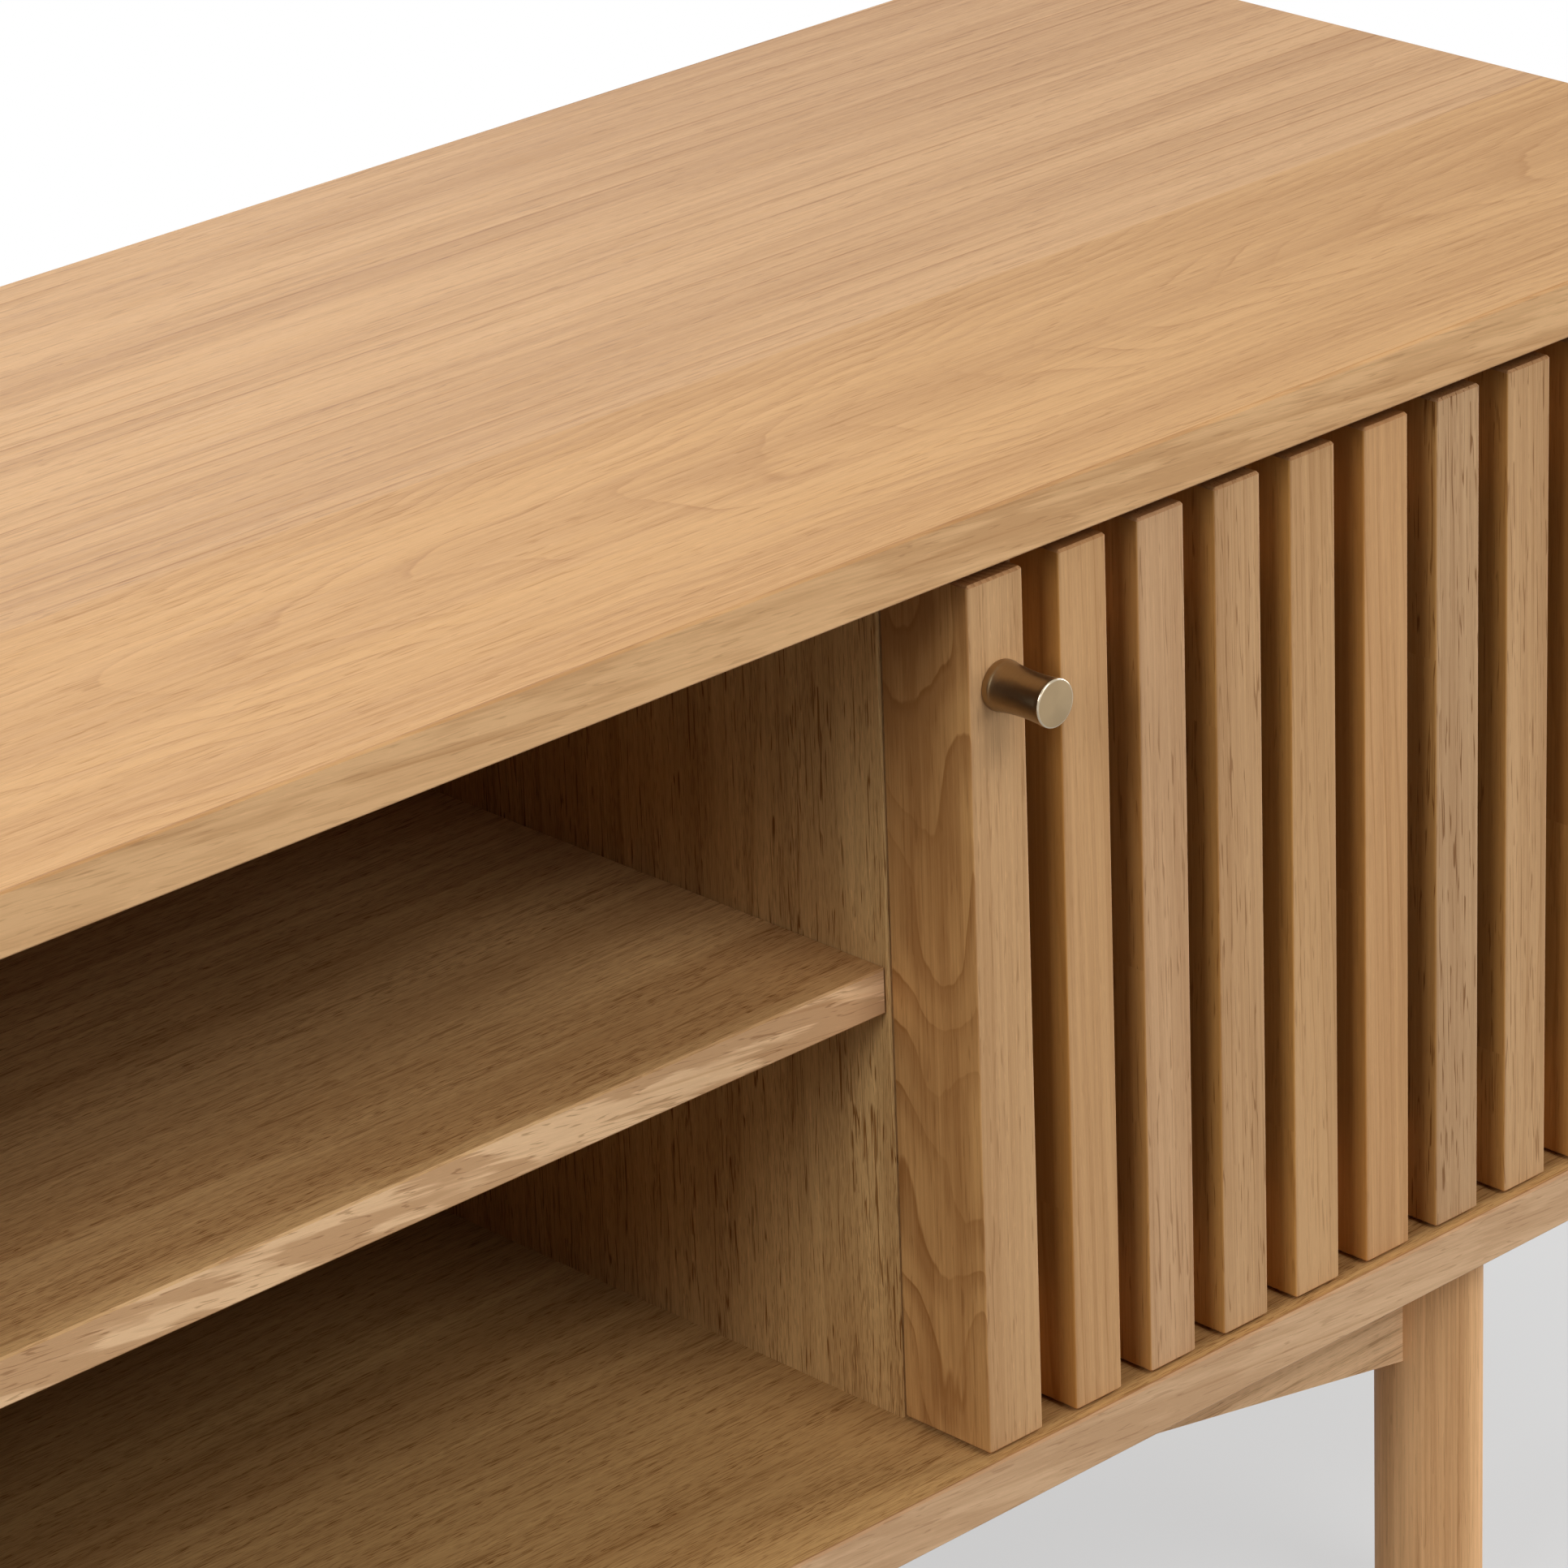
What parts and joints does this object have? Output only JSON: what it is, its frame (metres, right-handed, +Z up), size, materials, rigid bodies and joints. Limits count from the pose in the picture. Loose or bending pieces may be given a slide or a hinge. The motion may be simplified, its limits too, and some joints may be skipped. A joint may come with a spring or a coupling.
{
  "type": "media cabinet",
  "caption": "Low oak media cabinet with an open shelved centre, a slatted pivot-hung door on each side, round metal knobs and a stand of round legs with tapered rails.",
  "frame": {"origin": "on the floor, at the centre of the whole object's footprint, knobs included", "axes": "+X along the front towards the right-hand door as seen from in front, +Y towards the back, +Z up"},
  "size_m": [1.6, 0.472, 0.56],
  "materials": {
    "oak_veneer": "oak veneer on board, matt lacquer, honey brown, grain along the length",
    "oak_lipping": "solid oak strip, matt lacquer",
    "solid_oak": "solid oak, matt lacquer, grain along each piece",
    "back_veneer": "oak veneer on thin board, matt",
    "dowel_beech": "plain beech",
    "knob_metal": "champagne plating, turned and brushed, polished rim",
    "bush_brass": "turned brass",
    "steel": "zinc-plated steel",
    "magnet": "nickel-plated magnet",
    "glide_nylon": "dark nylon"
  },
  "bodies": {
    "carcass": {"top_panel": "oak_veneer", "top_lipping": "oak_lipping", "base_panel": "oak_veneer", "base_lipping": "oak_lipping", "left_side_panel": "oak_veneer", "right_side_panel": "oak_veneer", "left_divider": "oak_veneer", "right_divider": "oak_veneer", "center_shelf": "oak_veneer", "left_inner_shelf": "oak_veneer", "right_inner_shelf": "oak_veneer", "back_panel": "back_veneer", "front_rail": "solid_oak", "rear_rail": "solid_oak", "left_cross_rail": "solid_oak", "right_cross_rail": "solid_oak", "front_left_leg": "solid_oak", "front_right_leg": "solid_oak", "rear_left_leg": "solid_oak", "rear_right_leg": "solid_oak", "floor_glides": "glide_nylon", "pivot_bushes": "bush_brass", "catch_magnets": "magnet", "shelf_pins": "steel", "carcass_dowels": "dowel_beech", "stand_fixings": "steel"},
    "left_door": {"left_latch_stile": "solid_oak", "left_hinge_stile": "solid_oak", "left_top_rail": "solid_oak", "left_bottom_rail": "solid_oak", "left_slat_01": "solid_oak", "left_slat_02": "solid_oak", "left_slat_03": "solid_oak", "left_slat_04": "solid_oak", "left_slat_05": "solid_oak", "left_slat_06": "solid_oak", "left_slat_07": "solid_oak", "left_slat_08": "solid_oak", "left_slat_09": "solid_oak", "left_slat_10": "solid_oak", "left_knob": "knob_metal", "left_pivot_pins": "steel", "left_door_fixings": "steel"},
    "right_door": {"right_latch_stile": "solid_oak", "right_hinge_stile": "solid_oak", "right_top_rail": "solid_oak", "right_bottom_rail": "solid_oak", "right_slat_01": "solid_oak", "right_slat_02": "solid_oak", "right_slat_03": "solid_oak", "right_slat_04": "solid_oak", "right_slat_05": "solid_oak", "right_slat_06": "solid_oak", "right_slat_07": "solid_oak", "right_slat_08": "solid_oak", "right_slat_09": "solid_oak", "right_slat_10": "solid_oak", "right_knob": "knob_metal", "right_pivot_pins": "steel", "right_door_fixings": "steel"}
  },
  "joints": [
    {"name": "left_door_hinge", "type": "hinge", "parent": "carcass", "child": "left_door", "pos_m": [-0.763, -0.201, 0.361], "axis": [0, 0, -1], "range_deg": [0, 105]},
    {"name": "right_door_hinge", "type": "hinge", "parent": "carcass", "child": "right_door", "pos_m": [0.763, -0.201, 0.361], "axis": [0, 0, 1], "range_deg": [0, 105]}
  ]
}
